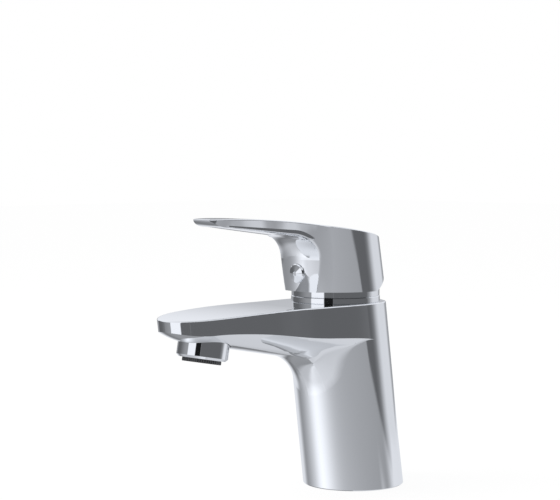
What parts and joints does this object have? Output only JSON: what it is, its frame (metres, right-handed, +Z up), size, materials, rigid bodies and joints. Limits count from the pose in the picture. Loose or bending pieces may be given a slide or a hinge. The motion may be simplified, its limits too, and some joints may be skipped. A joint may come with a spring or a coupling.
{
  "type": "basin mixer faucet",
  "caption": "Single-lever basin mixer: leaning chrome column, tongue-shaped spout with aerator, and a lever that lifts and turns over a ceramic-disc cartridge.",
  "frame": {"origin": "centre of the base circle on the deck plane", "axes": "+Z up, spout and lever towards -Y, +X to the right of someone facing the spout"},
  "size_m": [0.05, 0.1466, 0.134],
  "materials": {
    "body_chrome": "polished",
    "handle_chrome": "polished",
    "trim_chrome": "polished",
    "dark_plastic": "satin",
    "pale_plastic": "satin",
    "black_rubber": "matte",
    "ceramic": "polished",
    "brass": "machined",
    "steel": "machined"
  },
  "bodies": {
    "faucet": {"faucet_body": "body_chrome", "base_seal": "black_rubber", "cartridge_base": "pale_plastic", "cartridge_seals": "black_rubber", "disc_seals": "black_rubber", "fixed_ceramic_disc": "ceramic", "glide_washer": "pale_plastic", "cartridge_housing": "pale_plastic", "temperature_limit_ring": "dark_plastic", "cartridge_nut": "brass", "trim_ring": "trim_chrome", "dome_cover": "trim_chrome", "aerator_housing": "trim_chrome", "aerator_washer": "black_rubber", "flow_regulator": "pale_plastic", "aerator_screen": "steel", "aerator_insert": "dark_plastic"},
    "rotor": {"cartridge_rotor": "pale_plastic", "stem_pin": "steel"},
    "lever": {"handle": "handle_chrome", "lever_stem": "steel", "handle_grub_screw": "steel", "index_button": "trim_chrome"},
    "slider": {"disc_carrier": "dark_plastic", "moving_ceramic_disc": "ceramic"}
  },
  "joints": [
    {"name": "handle_turn", "type": "hinge", "parent": "faucet", "child": "rotor", "pos_m": [0, -0.0128, 0.087], "axis": [0, 0, 1], "range_deg": [-50, 50]},
    {"name": "handle_lift", "type": "hinge", "parent": "rotor", "child": "lever", "pos_m": [0, -0.0128, 0.087], "axis": [-1, 0, 0], "range_deg": [0, 22]},
    {"name": "disc_slide", "type": "slide", "parent": "rotor", "child": "slider", "axis": [0, -1, 0], "range_m": [0, 0.0046]}
  ],
  "couplings": [
    {"joint": "disc_slide", "follows": "handle_lift", "m_per_rad": 0.0117}
  ]
}
